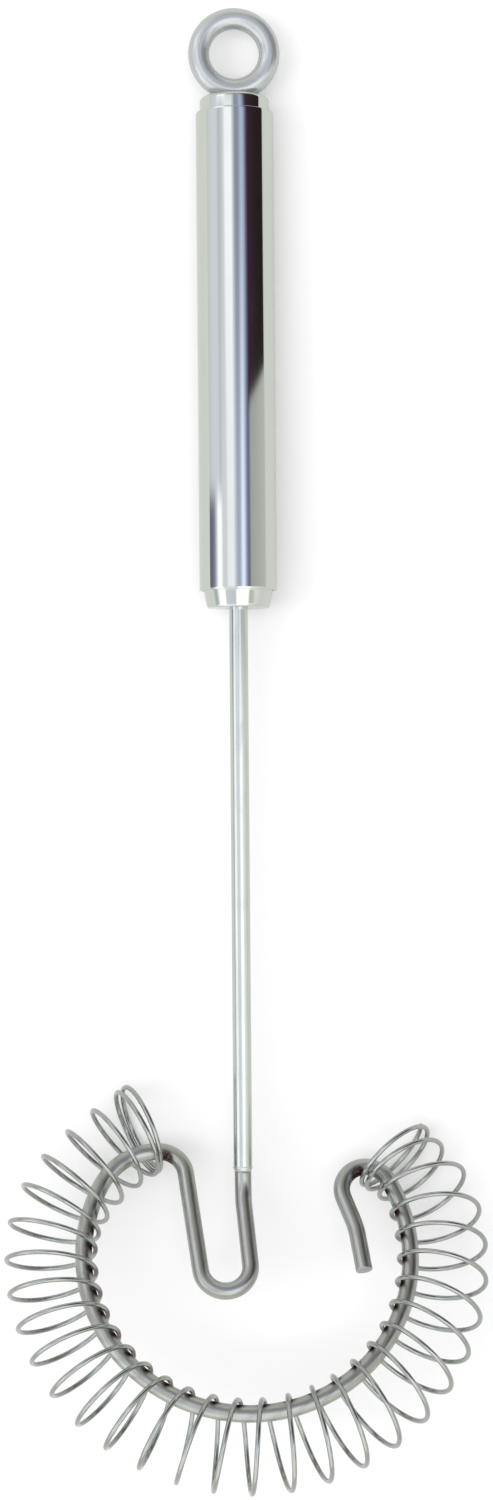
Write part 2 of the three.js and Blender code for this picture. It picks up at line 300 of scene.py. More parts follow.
@dataclass(frozen=True)
class MirrorSteel:
    """Mirror-polished steel with faint polishing lines and handling marks."""

    name: str = "mirror_polished_steel"
    colour: Colour = (0.57, 0.60, 0.55)
    dulled: float = 0.93
    smooth: float = 0.035
    smudged: float = 0.10
    marked: Pair = (0.52, 0.72)
    line_grain: Triple = (5.0, 5.0, 0.03)
    cloud_grain: Triple = (0.16, 0.16, 0.05)
    line_depth: float = 0.0025

    def material(self) -> bpy.types.Material:
        """Builds the finish.

        Returns:
            The material.
        """
        made, graph = new_graph(self.name)
        lines = graph.grain(self.line_grain, 3.0, 0.6)
        marks = graph.between(graph.grain(self.cloud_grain, 4.0, 0.6), *self.marked)
        roughness = self.smooth + marks * (self.smudged - self.smooth) + lines * 0.02
        dull = dimmed(self.colour, self.dulled)
        base = graph.mix(marks * 0.5 + lines * 0.25, self.colour, dull)
        graph.metal(base, roughness, graph.bump(lines, self.line_depth, 0.12))
        return made


@dataclass(frozen=True)
class DrawnSteel:
    """Bright drawn rod: fine lines along it and slightly uneven shine."""

    name: str = "bright_drawn_steel"
    colour: Colour = (0.55, 0.58, 0.54)
    dulled: float = 0.88
    smooth: float = 0.12
    rough: float = 0.22
    worn: Pair = (0.45, 0.7)
    line_grain: Triple = (7.0, 7.0, 0.05)
    patch_grain: Triple = (0.5, 0.5, 0.12)
    line_depth: float = 0.004
    metallic: float = 1.0

    def material(self) -> bpy.types.Material:
        """Builds the finish.

        Returns:
            The material.
        """
        made, graph = new_graph(self.name)
        lines = graph.grain(self.line_grain, 3.0, 0.65)
        worn = graph.between(graph.grain(self.patch_grain, 3.0, 0.6), *self.worn)
        roughness = graph.between(lines, *NOISE_RANGE, self.smooth, self.rough) + worn * 0.05
        dull = dimmed(self.colour, self.dulled)
        base = graph.mix(worn * 0.5 + lines * 0.4, self.colour, dull)
        graph.metal(base, roughness, graph.bump(lines, self.line_depth, 0.35), self.metallic)
        return made


@dataclass(frozen=True)
class SatinWire:
    """Darker bent wire with drawing lines, painted contact shade where the coil rests on it, and
    rub wear that roughens it there.
    """

    name: str = "satin_drawn_wire"
    colour: Colour = (0.40, 0.415, 0.38)
    warm: Colour = (0.35, 0.31, 0.27)
    contact_shade: Colour = (0.045, 0.014, 0.014)
    shaded: float = 0.7
    smooth: float = 0.25
    rough: float = 0.35
    warmed: Pair = (0.48, 0.75)
    line_grain: Triple = (6.0, 6.0, 0.12)
    patch_grain: Triple = (0.45, 0.45, 0.22)
    shade_and_rub_grain: Triple = (3.0, 3.0, 3.0)
    line_depth: float = 0.006

    def material(self) -> bpy.types.Material:
        """Builds the finish.

        Returns:
            The material.
        """
        made, graph = new_graph(self.name)
        lines = graph.grain(self.line_grain, 4.0, 0.65)
        warmth = graph.between(graph.grain(self.patch_grain, 4.0, 0.6), *self.warmed)
        base = graph.mix(warmth * 0.5, self.colour, self.warm)
        shade = graph.between(lines, 0.35, 0.75, 0.0, 0.35)
        base = graph.mix(shade, base, dimmed(self.colour, self.shaded))
        # Painted contact shade where the coil meets the wire, broken into patches, and rub wear
        # that roughens it.
        broken = graph.between(graph.grain(self.shade_and_rub_grain, 3.0, 0.6), 0.25, 0.6, 0.55, 1.0)
        shade_and_rub = graph.attribute(SHADE_AND_RUB, "Fac") * broken
        base = graph.mix(shade_and_rub, base, self.contact_shade)
        drawn = graph.between(lines, *NOISE_RANGE, self.smooth, self.rough)
        roughness = drawn + warmth * 0.08 + shade_and_rub * 0.15
        graph.metal(base, roughness, graph.bump(lines, self.line_depth, 0.4))
        return made


@dataclass(frozen=True)
class SpringWire:
    """Bright spring wire with faint drawing lines, darker where it rests on the ring: painted
    contact shade, with rub wear in its roughness.
    """

    name: str = "bright_spring_wire"
    colour: Colour = (0.375, 0.395, 0.365)
    contact_shade: Colour = (0.06, 0.02, 0.02)
    dulled: float = 0.82
    smooth: float = 0.11
    rough: float = 0.19
    worn: Pair = (0.4, 0.7)
    line_grain: Triple = (9.0, 9.0, 0.2)
    patch_grain: Triple = (0.5, 0.5, 0.15)
    line_depth: float = 0.003

    def material(self) -> bpy.types.Material:
        """Builds the finish.

        Returns:
            The material.
        """
        made, graph = new_graph(self.name)
        lines = graph.grain(self.line_grain, 3.0, 0.6)
        worn = graph.between(graph.grain(self.patch_grain, 3.0, 0.6), *self.worn, 0.0, 0.6)
        base = graph.mix(worn, self.colour, dimmed(self.colour, self.dulled))
        # Painted contact shade where the coil rests on the ring wire, and rub wear that roughens
        # it.
        shade_and_rub = graph.attribute(SHADE_AND_RUB, "Fac")
        base = graph.mix(shade_and_rub * 0.8, base, self.contact_shade)
        roughness = graph.between(lines, *NOISE_RANGE, self.smooth, self.rough) + shade_and_rub * 0.1
        graph.metal(base, roughness, graph.bump(lines, self.line_depth, 0.3))
        return made


@dataclass(frozen=True)
class WeldMetal:
    """Weld bead, a little rough, with straw heat colours. Its scales are spots per metre."""

    name: str = "weld_metal"
    colour: Colour = (0.58, 0.60, 0.56)
    straw: Colour = (0.46, 0.40, 0.32)
    heated: Pair = (0.48, 0.72)
    most_straw: float = 0.3
    smooth: float = 0.28
    rough: float = 0.5
    grain_scale: float = 1800.0
    cloud_scale: float = 420.0
    grain_depth: float = 0.03

    def material(self) -> bpy.types.Material:
        """Builds the finish.

        Returns:
            The material.
        """
        made, graph = new_graph(self.name)
        place = graph.signal("ShaderNodeTexCoord", output="Object")
        grain = graph.noise(place, self.grain_scale, 4.0, 0.65)
        clouds = graph.noise(place, self.cloud_scale, 2.0, 0.5)
        heat = graph.between(clouds, *self.heated, 0.0, self.most_straw)
        base = graph.mix(heat, self.colour, self.straw)
        roughness = graph.between(grain, *NOISE_RANGE, self.smooth, self.rough)
        graph.metal(base, roughness, graph.bump(grain, self.grain_depth, 0.5))
        return made


@dataclass(frozen=True)
class Placement:
    """Where the whisk's own frame lies in the row frame."""

    origin: np.ndarray
    turn: np.ndarray

    @classmethod
    def from_record(cls, record: Mapping[str, Any], centre: np.ndarray) -> "Placement":
        """Finds the placement from the ring's joint and the ferrule's face.

        Args:
            record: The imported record.
            centre: The ring's centre in the whisk's own frame, in millimetres.

        Returns:
            The placement.
        """
        joint = record["behaviour"]["joints"][0]
        face = next(m for m in record["mounts"] if m["name"] == "ferrule_face")
        along = -np.array(face["axis"])
        right = np.cross(along, np.array(joint["axis"]))
        right /= np.linalg.norm(right)
        along /= np.linalg.norm(along)
        turn = np.column_stack([right, along, np.cross(right, along)])
        origin = np.array(joint["pos_m"]) - turn @ centre * METRES
        return cls(origin, turn)

    def points(self, own: np.ndarray) -> np.ndarray:
        """Points in the row frame, in metres."""
        return own @ self.turn.T * METRES + self.origin

    def directions(self, own: np.ndarray) -> np.ndarray:
        """Directions in the row frame."""
        return own @ self.turn.T


@dataclass
class Skin:
    """A grid of points that becomes a closed mesh: rings of points, one after another.

    The lay is each point's place across, across and along the piece, which its finish follows.
    """

    rings: np.ndarray
    lay: np.ndarray
    looped: bool = False

    def faces(self) -> list[tuple[int, ...]]:
        """Lists the quads between the rings, and a cap at each open end.

        Returns:
            The points' numbers of each face.
        """
        count, sides = self.rings.shape[:2]
        pairs = [(ring, (ring + 1) % count) for ring in range(count if self.looped else count - 1)]
        made: list[tuple[int, ...]] = []
        for here, there in pairs:
            for side in range(sides):
                after = (side + 1) % sides
                made.append((here * sides + side, here * sides + after,
                             there * sides + after, there * sides + side))
        if not self.looped:
            made.append(tuple(range(sides)))
            made.append(tuple(range((count - 1) * sides, count * sides)))
        return made


@dataclass
class Workshop:
    """Makes the pieces: places their meshes, dresses them and sets what they ride on."""

    placement: Placement
    materials: dict[Slot, bpy.types.Material] = field(default_factory=dict)
    crisp_edge: float = 40.0

    def piece(self, name: str, skins: Sequence[Skin], slot: Slot, body: Body,
              nodes: Iterable[str], finish: bpy.types.Material | None = None) -> bpy.types.Object:
        """Makes one piece of closed skins.

        Args:
            name: The piece's name.
            skins: Its surfaces.
            slot: The material slot that it takes its finish from.
            body: The body that it rides on.
            nodes: The CAD nodes that it stands for.
            finish: Its own finish, if it isn't the slot's.

        Returns:
            The new object.
        """
        points = np.concatenate([skin.rings.reshape(-1, 3) for skin in skins])
        lay = np.concatenate([skin.lay.reshape(-1, 3) for skin in skins])
        faces: list[tuple[int, ...]] = []
        start = 0
        for skin in skins:
            faces += [tuple(index + start for index in face) for face in skin.faces()]
            start += skin.rings.shape[0] * skin.rings.shape[1]
        mesh = bpy.data.meshes.new(name)
        mesh.from_pydata(self.placement.points(points).tolist(), [], faces)
        laid = mesh.attributes.new(LAY, "FLOAT_VECTOR", "POINT")
        laid.data.foreach_set("vector", lay.astype(np.float32).ravel())
        shape = bmesh.new()
        shape.from_mesh(mesh)
        bmesh.ops.recalc_face_normals(shape, faces=shape.faces)
        shape.to_mesh(mesh)
        shape.free()
        mesh.shade_smooth()
        mesh.set_sharp_from_angle(angle=math.radians(self.crisp_edge))
        mesh.materials.append(finish or self.materials[slot])
        made = placed(name, mesh)
        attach(made, body.value)
        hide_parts(*nodes)
        log.info("%s: %d faces on %s, finish %s", name, len(mesh.polygons), body.value, slot.value)
        return made


def turned(profile: Sequence[Pair], sides: int, looped: bool = False) -> Skin:
    """Turns a profile about the handle's axis.

    Args:
        profile: Radius and height of each point, from one end face's middle to the other's.
        sides: Sides of the turned skin.
        looped: Whether the profile's end meets its start, as on a piece with a bore.

    Returns:
        The skin.
    """
    radius = np.array([point[0] for point in profile])[:, None]
    height = np.array([point[1] for point in profile])[:, None]
    angle = np.linspace(0, 2 * math.pi, sides, endpoint=False)[None, :]
    across = radius * np.cos(angle)
    up = radius * np.sin(angle)
    along = np.broadcast_to(height, across.shape)
    rings = np.stack([across, along, up], axis=-1)
    return Skin(rings, np.stack([across, up, along], axis=-1), looped)


def rounded(radius: float, height: float, size: float, start: float, end: float,
            steps: int = 6) -> list[Pair]:
    """Points of a profile's round corner, from its centre, size, and two angles in degrees."""
    angles = np.radians(np.linspace(start, end, steps + 1))
    return [(radius + size * math.cos(a), height + size * math.sin(a)) for a in angles]


def swept(centres: np.ndarray, headings: np.ndarray, seed: np.ndarray, radius: float,
          sides: int, edge: float, looped: bool = False) -> Skin:
    """Sweeps a round wire along a line of centres.

    Args:
        centres: The wire's centres.
        headings: Its direction at each centre.
        seed: A direction across the wire at its start.
        radius: The wire's radius.
        sides: Sides of the wire.
        edge: Radius of the rounding at the two cut ends.
        looped: Whether the end meets the start.

    Returns:
        The skin.
    """
    length = np.concatenate([[0.0], np.cumsum(np.linalg.norm(np.diff(centres, axis=0), axis=1))])
    radii = np.full(len(centres), radius)
    if not looped:
        turn = np.radians(np.linspace(0, 90, EDGE_STEPS + 1))[:-1]
        small = radius - edge + edge * np.sin(turn)
        places = edge - edge * np.cos(turn)
        inner = (length > edge) & (length < length[-1] - edge)
        wanted = np.concatenate([places, length[inner], length[-1] - places[::-1]])
        radii = np.concatenate([small, np.full(int(inner.sum()), radius), small[::-1]])
        centres, headings = (np.column_stack([np.interp(wanted, length, line[:, axis])
                                              for axis in range(3)])
                             for line in (centres, headings))
        length = wanted
    headings = unit(headings)
    across = np.empty_like(centres)
    held = seed
    for index, heading in enumerate(headings):
        held = held - heading * float(held @ heading)
        held = held / np.linalg.norm(held)
        across[index] = held
    beside = np.cross(headings, across)
    angle = np.linspace(0, 2 * math.pi, sides, endpoint=False)
    cosine = radii[:, None] * np.cos(angle)
    sine = radii[:, None] * np.sin(angle)
    rings = (centres[:, None, :] + cosine[..., None] * across[:, None, :]
             + sine[..., None] * beside[:, None, :])
    along = np.broadcast_to(length[:, None], cosine.shape)
    return Skin(rings, np.stack([cosine, sine, along], axis=-1), looped)


def mark_shade_and_rubs(piece: bpy.types.Object, partner: np.ndarray, radius: float, reach: Pair) -> None:
    """Marks where a piece comes close to its partner wire: painted contact shade and rub wear.

    Args:
        piece: The piece to mark.
        partner: Points of the partner's centre line, in the row frame.
        radius: The partner's radius, in millimetres.
        reach: The gap that is fully marked, and the gap where the mark ends.
    """
    near, far = reach
    tree = KDTree(len(partner))
    for index, point in enumerate(partner):
        tree.insert(Vector(point), index)
    tree.balance()
    gaps = np.array([tree.find(vertex.co)[2] for vertex in piece.data.vertices]) / METRES
    share = eased((radius + far - gaps) / (far - near))
    mark = piece.data.attributes.new(SHADE_AND_RUB, "FLOAT", "POINT")
    mark.data.foreach_set("value", share.astype(np.float32))


class Way(Enum):
    """Ways to bend the wire."""

    LEFT = "left in its plane"
    RIGHT = "right in its plane"
    UP = "up, with its plane"


@dataclass(frozen=True)
class Run:
    """A stretch of the bent wire: straight, or one round bend."""

    length: float = 0.0
    radius: float = 0.0
    degrees: float = 0.0
    way: Way | None = None


@dataclass
class Spot:
    """A place on the wire: its centre, its heading and the plane's normal."""

    point: Vector
    heading: Vector
    normal: Vector

    def moved(self, run: Run, share: float) -> "Spot":
        """Follows a stretch of wire.

        Args:
            run: The stretch, which starts here.
            share: How much of it, from 0 to 1.

        Returns:
            The spot reached.
        """
        if run.way is None:
            return Spot(self.point + self.heading * run.length * share, self.heading, self.normal)
        axis = self.axis(run)
        inward = axis.cross(self.heading)
        turn = Matrix.Rotation(math.radians(run.degrees) * share, 3, axis)
        point = self.point + inward * run.radius - turn @ (inward * run.radius)
        return Spot(point, turn @ self.heading, turn @ self.normal)

    def axis(self, run: Run) -> Vector:
        """The axis that a bend turns about.

        Args:
            run: The bend, which starts here.

        Returns:
            The axis.
        """
        if run.way is Way.UP:
            return self.heading.cross(self.normal)
        return self.normal if run.way is Way.LEFT else -self.normal


@dataclass
class FrameWire:
    """The one wire bent into legs, shoulder, open ring and hook."""

    radius: float = 1.5
    seam_gap: float = 0.45
    stub: Run = Run(length=0.88)
    tilt: Run = Run(radius=8.0, degrees=31.0, way=Way.UP)
    lean: Run = Run(radius=12.0, degrees=4.2, way=Way.LEFT)
    inner_leg: Run = Run(length=11.45)
    u_bend: Run = Run(radius=4.45, degrees=177.1, way=Way.RIGHT)
    outer_leg: Run = Run(length=18.4)
    shoulder: Run = Run(radius=5.0, degrees=82.9, way=Way.LEFT)
    neck: Run = Run(radius=11.5, degrees=62.8, way=Way.LEFT)
    ring: Run = Run(radius=29.05, degrees=235.1, way=Way.LEFT)
    hook: Run = Run(radius=4.4, degrees=171.1, way=Way.LEFT)
    tail_upper: Run = Run(length=4.6)
    tail_bend: Run = Run(radius=15.0, degrees=11.6, way=Way.RIGHT)
    tail_lower: Run = Run(length=6.5)
    sides: int = 32
    step: float = 0.5
    end_edge: float = 0.12
    shade_and_rub_reach: Pair = (0.75, 1.3)

    def __post_init__(self) -> None:
        """Follows the wire from the seam to its free end."""
        spot = Spot(Vector((0, -self.seam_gap, 0)), Vector((0, -1, 0)), Vector((0, 0, 1)))
        self.spots = [spot]
        for run in (self.stub, self.tilt, self.lean, self.inner_leg, self.u_bend, self.outer_leg,
                    self.shoulder, self.neck, self.ring, self.hook, self.tail_upper,
                    self.tail_bend, self.tail_lower):
            length = run.length if run.way is None else run.radius * math.radians(run.degrees)
            steps = max(2, math.ceil(length / self.step))
            if run is self.ring:
                inward = spot.normal.cross(spot.heading)
                self.ring_centre = np.array(spot.point + inward * run.radius)
                self.ring_normal = np.array(spot.normal)
            self.spots += [spot.moved(run, (index + 1) / steps) for index in range(steps)]
            spot = self.spots[-1]

    def centres(self) -> np.ndarray:
        """Centres along the whole wire."""
        return np.array([spot.point for spot in self.spots])

    def build(self, shop: Workshop) -> bpy.types.Object:
        """Makes the wire.

        Args:
            shop: Makes and dresses the piece.

        Returns:
            The wire's object.
        """
        headings = np.array([spot.heading for spot in self.spots])
        skin = swept(self.centres(), headings, np.array(self.spots[0].normal), self.radius,
                     self.sides, self.end_edge)
        return shop.piece("bent_frame_wire", [skin], Slot.WIRE, Body.FRAME, ["frame_wire"])


@dataclass
class Handle:
    """The tube with its two plugs and the weld sealed inside it."""

    tube_radius: float = 6.98
    wall: float = 0.6
    low: float = 103.9
    length: float = 85.8
    tube_edge: float = 0.12
    plug_radius: float = 6.25
    plug_height: float = 2.8
    plug_edge: float = 0.8
    plug_depth: float = 6.0
    ferrule_height: float = 3.1
    ferrule_tip: float = 5.7
    ferrule_edge: float = 0.45
    ferrule_depth: float = 8.0
    ferrule_bore: float = 1.7
    middle: float = 0.4
    tube_rings: tuple[float, ...] = (0.006, 0.012, 0.25, 0.5, 0.75, 0.988, 0.994)
    taper_rings: Pair = (0.06, 0.94)
    sides: int = 128

    @property
    def high(self) -> float:
        """Height of the tube's far end."""
        return self.low + self.length

    @property
    def plug_top(self) -> float:
        """Height of the top plug's outer face."""
        return self.high + self.plug_height

    @property
    def ferrule_face(self) -> float:
        """Height of the ferrule's outer face."""
        return self.low - self.ferrule_height

    def build_tube(self, shop: Workshop) -> None:
        """Makes the open tube with its eased ends.

        Args:
            shop: Makes and dresses the piece.
        """
        bore = self.tube_radius - self.wall
        rim = self.tube_radius - self.tube_edge
        profile = [(bore, self.low)]
        profile += rounded(rim, self.low + self.tube_edge, self.tube_edge, -90, 0)
        profile += [(self.tube_radius, self.low + self.length * share)
                    for share in self.tube_rings]
        profile += rounded(rim, self.high - self.tube_edge, self.tube_edge, 0, 90)
        profile += [(bore, self.high)]
        skin = turned(profile, self.sides, looped=True)
        shop.piece("handle_tube_skin", [skin], Slot.POLISHED, Body.FRAME, ["handle_tube"])

    def build_top_plug(self, shop: Workshop) -> None:
        """Makes the rounded plug that closes the far end.

        Args:
            shop: Makes and dresses the piece.
        """
        edge = self.plug_edge
        inside = self.high - self.plug_depth
        profile = [(self.middle, inside), (self.plug_radius, inside)]
        profile += rounded(self.plug_radius - edge, self.plug_top - edge, edge, 0, 90, 10)
        profile += [(self.middle, self.plug_top)]
        skin = turned(profile, self.sides)
        shop.piece("rounded_top_plug", [skin], Slot.POLISHED, Body.FRAME, ["top_plug"])

    def build_ferrule(self, shop: Workshop) -> None:
        """Makes the tapered plug that the shaft enters.

        Args:
            shop: Makes and dresses the piece.
        """
        edge = self.ferrule_edge
        inside = self.low + self.ferrule_depth
        profile = [(self.ferrule_bore, self.ferrule_face)]
        profile += rounded(self.ferrule_tip - edge, self.ferrule_face + edge, edge, -90, 0)
        flare, rise = self.plug_radius - self.ferrule_tip, self.ferrule_height - edge
        profile += [(self.ferrule_tip + flare * share, self.ferrule_face + edge + rise * share)
                    for share in self.taper_rings]
        profile += [(self.plug_radius, self.low), (self.plug_radius, inside),
                    (self.ferrule_bore, inside)]
        skin = turned(profile, self.sides, looped=True)
        shop.piece("tapered_ferrule", [skin], Slot.POLISHED, Body.FRAME, ["ferrule"])

    def dress_tang_weld(self, shop: Workshop) -> None:
        """Gives the sealed-in weld its finish.

        Args:
            shop: Holds the finishes.
        """
        weld = frame["nodes"]["tang_weld"]
        weld.data.materials.clear()
        weld.data.materials.append(shop.materials[Slot.WELD])
        log.info("tang_weld: kept, finish %s", Slot.WELD.value)


@dataclass
class HangingRing:
    """The closed wire ring and the weld that joins it to the top plug."""

    plug_top: float
    radius: float = 6.35
    wire: float = 1.9
    sunk: float = 0.25
    weld_leg: float = 0.7
    weld_ripples: tuple[Triple, ...] = ((9, 0.02, 0), (14, 0.015, 1))
    weld_steps: int = 6
    weld_sides: int = 64
    steps: int = 128
    sides: int = 40
    finish: DrawnSteel = DrawnSteel(name="tumbled_ring_steel", colour=(0.50, 0.525, 0.515),
                                    smooth=0.20, rough=0.28, line_depth=0.006, metallic=0.6)

    def build(self, shop: Workshop) -> None:
        """Makes the ring with its weld."""
        shop.piece("hanging_ring_wire", [self.ring(), self.weld()], Slot.BRIGHT, Body.FRAME,
                   ["hanging_ring"], self.finish.material())

    def ring(self) -> Skin:
        """Lays out the round ring.

        Returns:
            The ring's skin.
        """
        angle = np.linspace(0, 2 * math.pi, self.steps, endpoint=False)
        middle = self.plug_top + self.radius + self.wire - self.sunk
        zero = np.zeros_like(angle)
        across, along = self.radius * np.sin(angle), middle - self.radius * np.cos(angle)
        centres = np.stack([across, along, zero], -1)
        headings = np.stack([np.cos(angle), np.sin(angle), zero], -1)
        return swept(centres, headings, np.array([0, 0, 1.0]), self.wire, self.sides, 0.0, True)

    def weld(self) -> Skin:
        """Lays out the hollow-faced weld round the ring's foot.

        Returns:
            The weld's skin.
        """
        rise = np.radians(np.linspace(0, 90, self.weld_steps + 1))
        height = self.weld_leg * (1 - np.cos(rise))
        spread = self.weld_leg * (1 - np.sin(rise))
        depth = self.radius + self.wire - self.sunk - height
        long = np.sqrt((self.radius + self.wire) ** 2 - depth ** 2) + spread
        short = np.sqrt(self.wire ** 2 - (depth - self.radius) ** 2) + spread
        angle = np.linspace(0, 2 * math.pi, self.weld_sides, endpoint=False)
        ripple = 1 + waves(angle, self.weld_ripples)
        x = long[:, None] * np.cos(angle) * ripple
        z = short[:, None] * np.sin(angle) * ripple
        y = np.broadcast_to((self.plug_top + height)[:, None], x.shape)
        rings = np.stack([x, y, z], axis=-1)
        return Skin(rings, rings.copy())


@dataclass
class Shaft:
    """The straight rod from the ferrule to the seam, and the bead at the seam."""

    radius: float = 1.67
    wire_radius: float = 1.5
    low: float = 0.45
    high: float = 114.9
    bead_length: float = 0.9
    bead_height: float = 0.1
    bead_fullness: float = 0.8
    bead_steps: int = 12
    middle: float = 0.3
    rings: tuple[float, ...] = (0.25, 0.5, 0.75)
    sides: int = 48

    def build_rod(self, shop: Workshop) -> None:
        """Makes the rod.

        Args:
            shop: Makes and dresses the piece.
        """
        profile = [(self.middle, self.low), (self.radius, self.low)]
        profile += [(self.radius, self.low + (self.high - self.low) * share)
                    for share in self.rings]
        profile += [(self.radius, self.high), (self.middle, self.high)]
        skin = turned(profile, self.sides)
        shop.piece("straight_shaft_rod", [skin], Slot.BRIGHT, Body.FRAME, ["shaft"])

    def build_bead(self, shop: Workshop) -> None:
        """Makes the swollen bead between rod and wire.

        Args:
            shop: Makes and dresses the piece.
        """
        share = np.linspace(0, 1, self.bead_steps + 1)
        half = self.bead_length / 2
        ends = self.wire_radius + (self.radius - self.wire_radius) * share
        swell = ends + self.bead_height * np.sin(math.pi * share) ** self.bead_fullness
        heights = -half + self.bead_length * share
        profile = [(self.middle, -half), *zip(swell, heights), (self.middle, half)]
        skin = turned(profile, self.sides)
        shop.piece("seam_weld_bead", [skin], Slot.WELD, Body.FRAME, ["seam_weld"])


@dataclass
class Coil:
    """The long spring of fine wire that hangs loose on the ring.

    Places along it are turns counted from its start at the shoulder, or from its end at the hook
    where the name says so. Angles about the ring's centre are degrees, and all else millimetres.
    """

    frame_wire: FrameWire
    wire: float = 0.43
    radius: float = 7.8
    path_radius: float = 34.79
    turns: float = 32.375
    first_phase: float = 0.125
    start: float = 126.6
    end: float = 396.7
    start_rate: float = 2.1
    start_closed: float = 1.1
    start_opening: float = 1.0
    end_rate: float = 2.6
    end_closed: float = 0.5
    end_opening: float = 2.26
    sag: float = 2.15
    gain: float = 1.1
    gain_turns: tuple[float, float, float, float] = (2.0, 4.6, 5.2, 11.0)
    end_back: float = 1.2
    end_back_turns: float = 3.9
    wobbles: tuple[Triple, ...] = ((1.7, 0.12, 0), (4.1, 0.072, 1))
    start_draw: float = 4.6
    start_draw_span: float = 50.0
    end_draw: float = 2.3
    end_draw_span: float = 22.0
    start_lean: float = 1.3
    full_lean: float = -0.8
    rest_lean: float = 0.1
    lean_turns: Triple = (0.9, 2.5, 5.8)
    end_lean_rise: float = 2.1
    end_lean_fall: float = 2.35
    end_lean_turns: Triple = (3.4, 2.4, 2.9)
    start_fan: float = 1.4
    fan_turns: Pair = (1.0, 3.8)
    start_lift: float = 0.15
    start_lift_turns: float = 2.0
    stand_lean: float = 0.085
    cut_edge: float = 0.1
    # Where the end turns slip: painted contact shade and rub wear on the ring wire.
    end_shade_and_wear_turns: float = 1.2
    end_shade_and_wear_slips: Pair = (1.2, 2.6)
    end_shade_and_wear_radius: float = 26.0
    shade_and_rub_reach: Pair = (0.6, 1.6)
    steps_per_turn: int = 48
    sides: int = 14

    def rates(self, turns: np.ndarray) -> np.ndarray:
        """Angle that each turn covers, which is smaller where the spring's ends are closed.

        Args:
            turns: Turns from the start, evenly spaced.

        Returns:
            The rates, in degrees a turn.
        """
        from_end = self.turns - turns
        opened = eased((turns - self.start_closed) / self.start_opening)
        closing = eased((from_end - self.end_closed) / self.end_opening)
        step = turns[1] - turns[0]
        shut = self.start_rate * (1 - opened) + self.end_rate * (1 - closing)
        free = opened + closing - 1
        pitch = (self.end - self.start - np.sum(shut[:-1]) * step) / (np.sum(free[:-1]) * step)
        return shut + pitch * free

    def azimuths(self, turns: np.ndarray) -> np.ndarray:
        """Angle about the ring's centre at each turn: the rates, and how the spring has settled.

        Args:
            turns: Turns from the start, evenly spaced.

        Returns:
            The angles.
        """
        laid = np.cumsum(self.rates(turns)[:-1]) * (turns[1] - turns[0])
        sagged = self.sag * np.sin(math.pi * turns / self.turns)
        rise, held, fall, gone = self.gain_turns
        gained = eased((turns - rise) / (held - rise)) * eased((gone - turns) / (gone - fall))
        back = eased(1 - (self.turns - turns) / self.end_back_turns)
        settled = self.gain * gained - sagged - self.end_back * back
        return self.start + np.concatenate([[0.0], laid]) + settled + waves(turns, self.wobbles)

    def leans(self, turns: np.ndarray) -> np.ndarray:
        """How far the inner side of each turn is ahead of its middle.

        Args:
            turns: Turns from the start.

        Returns:
            The leans.
        """
        first, full, rest = self.lean_turns
        begun, risen, fallen = self.end_lean_turns
        from_end = self.turns - turns
        lean = self.start_lean
        lean = lean + (self.full_lean - self.start_lean) * eased((turns - first) / (full - first))
        lean = lean + (self.rest_lean - self.full_lean) * eased((turns - full) / (rest - full))
        lean = lean + self.end_lean_rise * eased((begun - from_end) / (begun - risen))
        return lean - self.end_lean_fall * eased(1 - from_end / fallen)

    def path(self, turns: np.ndarray) -> tuple[np.ndarray, np.ndarray]:
        """The curved line that the turns go round, drawn in at both ends.

        Args:
            turns: Turns from the start, evenly spaced.

        Returns:
            The points, and the direction round the ring's centre at each.
        """
        azimuth = self.azimuths(turns)
        drawn = self.start_draw * (1 - eased((azimuth - self.start) / self.start_draw_span))
        drawn = drawn + self.end_draw * (1 - eased((self.end - azimuth) / self.end_draw_span))
        lift = self.start_lift * eased(1 - turns / self.start_lift_turns)
        normal = self.frame_wire.ring_normal
        up = np.cross(normal, RIGHT)
        angle = np.radians(azimuth)[:, None]
        spoke = np.cos(angle) * RIGHT + np.sin(angle) * up
        round_ring = np.cos(angle) * up - np.sin(angle) * RIGHT
        out = (self.path_radius - drawn)[:, None] * spoke
        return self.frame_wire.ring_centre + out + lift[:, None] * normal, round_ring

    def line(self) -> tuple[np.ndarray, np.ndarray]:
        """The spring's centre line.

        Returns:
            The points, and the direction at each.
        """
        count = round(self.turns * self.steps_per_turn)
        turns = np.linspace(0, self.turns, count + 1)
        path, round_ring = self.path(turns)
        normal = self.frame_wire.ring_normal
        outward = np.cross(unit(np.gradient(path, axis=0)), normal)
        stand = normal - self.stand_lean * RIGHT
        near, gone = self.fan_turns
        fan = self.start_fan * eased((gone - turns) / (gone - near))
        phase = 2 * math.pi * (turns + self.first_phase)
        inner, below = np.cos(phase), np.sin(phase)
        turned_off = self.radius * (inner[:, None] * outward + below[:, None] * stand)
        aside = self.leans(turns) * inner + fan * below
        points = path - turned_off + aside[:, None] * round_ring
        return points, unit(np.gradient(points, axis=0))

    def shaded_and_worn_places(self) -> np.ndarray:
        """Where the spring rests, and where the inner side of its end turns goes as it slips; the
        ring wire gets painted contact shade and rub wear there.

        Returns:
            Points of the spring's centre line.
        """
        points, _ = self.line()
        centre = self.frame_wire.ring_centre
        count = round(self.end_shade_and_wear_turns * self.steps_per_turn)
        axis = Vector(self.frame_wire.ring_normal)
        places = [points]
        for part, sign in ((points[:count], -1), (points[-count:], 1)):
            inner = part[np.linalg.norm(part - centre, axis=1) < self.end_shade_and_wear_radius]
            for slip in self.end_shade_and_wear_slips:
                turn = Matrix.Rotation(math.radians(sign * slip), 3, axis)
                places.append((inner - centre) @ np.array(turn).T + centre)
        return np.concatenate(places)

    def build(self, shop: Workshop) -> bpy.types.Object:
        """Makes the spring.

        Args:
            shop: Makes and dresses the piece.

        Returns:
            The spring's object.
        """
        points, headings = self.line()
        skin = swept(points, headings, self.frame_wire.ring_normal, self.wire, self.sides,
                     self.cut_edge)
        return shop.piece("loose_coil_spring", [skin], Slot.SPRING, Body.COIL, ["whisk_coil"])


